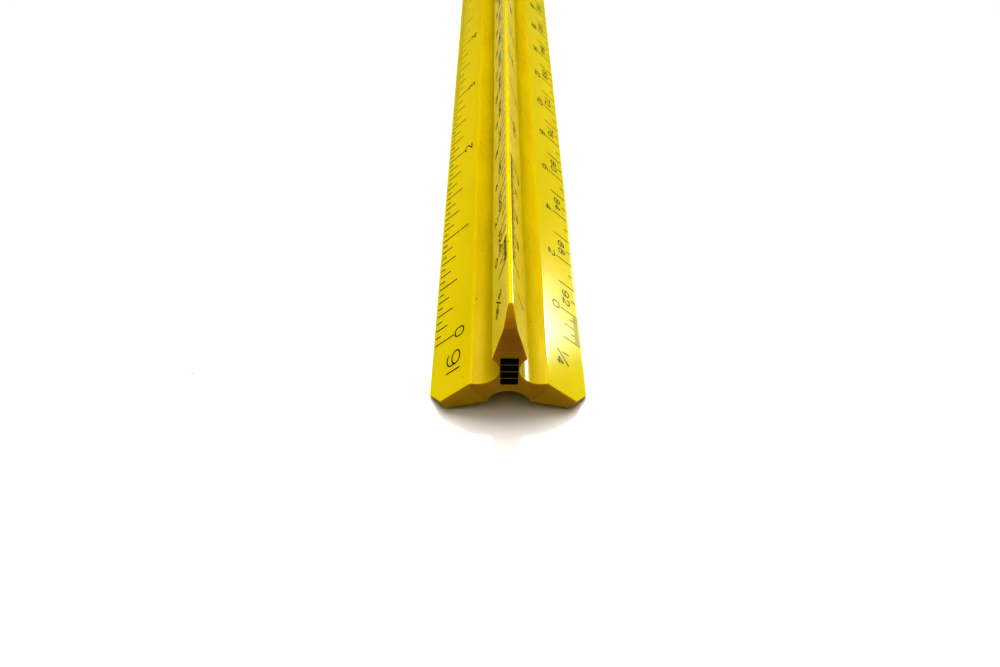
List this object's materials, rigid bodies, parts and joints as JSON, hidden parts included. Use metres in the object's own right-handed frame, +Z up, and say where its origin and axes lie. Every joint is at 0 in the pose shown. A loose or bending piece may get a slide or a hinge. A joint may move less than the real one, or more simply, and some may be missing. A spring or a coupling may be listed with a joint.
{
  "type": "triangular scale ruler",
  "caption": "Three-bladed triangular architect's scale in yellow plastic, with a finger groove in each face and black graduated scales on all six flats.",
  "frame": {"origin": "middle of the rectangle that the ruler covers on the table, in the plane that its two lower blades rest on", "axes": "+Y along the ruler from the near end, where the full-size inch scale starts, to the far end; +Z up through the top blade; +X to the right seen from the near end"},
  "size_m": [0.0238, 0.3284, 0.0206],
  "materials": {
    "yellow_plastic": "glossy moulded plastic, yellow right through",
    "black_foil": "black hot-stamped foil"
  },
  "bodies": {
    "root": {"ruler_body": "yellow_plastic", "full_size_scale_graduations": "black_foil", "full_size_scale_numerals": "black_foil", "full_size_scale_designation": "black_foil", "three_sixteenths_scale_graduations": "black_foil", "three_sixteenths_scale_numerals": "black_foil", "three_sixteenths_scale_designation": "black_foil", "quarter_scale_graduations": "black_foil", "quarter_scale_numerals": "black_foil", "quarter_scale_designation": "black_foil", "one_inch_scale_graduations": "black_foil", "one_inch_scale_numerals": "black_foil", "one_inch_scale_designation": "black_foil", "three_quarter_scale_graduations": "black_foil", "three_quarter_scale_numerals": "black_foil", "three_quarter_scale_designation": "black_foil", "three_inch_scale_graduations": "black_foil", "three_inch_scale_numerals": "black_foil", "three_inch_scale_designation": "black_foil", "end_mark": "black_foil"}
  },
  "joints": []
}
